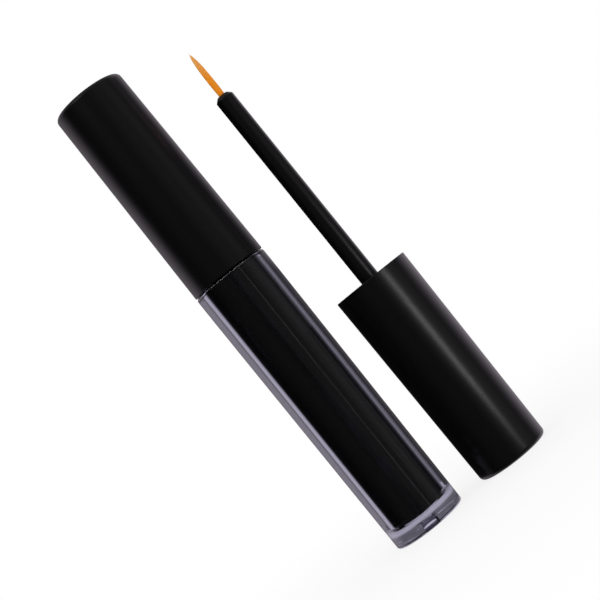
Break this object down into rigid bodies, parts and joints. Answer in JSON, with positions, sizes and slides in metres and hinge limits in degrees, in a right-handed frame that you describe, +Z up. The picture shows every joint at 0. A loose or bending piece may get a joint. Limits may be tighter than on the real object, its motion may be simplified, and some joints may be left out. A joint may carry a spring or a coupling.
{
  "type": "liquid eyeliner bottle",
  "caption": "Closed clear thick-walled eyeliner bottle with a threaded cap, stem and brush inside, and the same applicator standing loose beside it, brush up.",
  "frame": {"origin": "on the surface that both items stand on, midway between the bottle's axis and the loose applicator's axis", "axes": "+Z up along both axes, +X from the closed bottle towards the loose applicator"},
  "size_m": [0.0378, 0.0166, 0.1081],
  "materials": {
    "clear_plastic": "gloss",
    "matt_black_plastic": "satin",
    "insert_plastic": "satin",
    "stem_plastic": "satin",
    "soft_plastic": "satin",
    "eyeliner_liquid": "gloss",
    "bristle": "satin"
  },
  "bodies": {
    "bottle": {"bottle": "clear_plastic", "wiper": "soft_plastic", "liquid": "eyeliner_liquid"},
    "washer": {"gasket": "soft_plastic"},
    "rod": {"stem": "stem_plastic", "brush": "bristle"},
    "cap": {"inner_cap": "insert_plastic", "outer_cap": "matt_black_plastic"},
    "loose_applicator": {"loose_gasket": "soft_plastic", "loose_stem": "stem_plastic", "loose_brush": "bristle", "loose_inner_cap": "insert_plastic", "loose_outer_cap": "matt_black_plastic"}
  },
  "joints": [
    {"name": "applicator_pull", "type": "slide", "parent": "bottle", "child": "washer", "axis": [0, 0, 1], "range_m": [0, 0.08]},
    {"name": "thread_rise", "type": "slide", "parent": "washer", "child": "rod", "axis": [0, 0, 1], "range_m": [0, 0.00225]},
    {"name": "cap_unscrew", "type": "hinge", "parent": "rod", "child": "cap", "pos_m": [-0.01055, 0, 0.0632], "axis": [0, 0, 1], "range_deg": [0, 450]},
    {"name": "loose_lift", "type": "slide", "parent": "bottle", "child": "loose_applicator", "axis": [0, 0, 1], "range_m": [0, 0.11]}
  ],
  "couplings": [
    {"joint": "thread_rise", "follows": "cap_unscrew", "m_per_rad": 0.00028648}
  ]
}
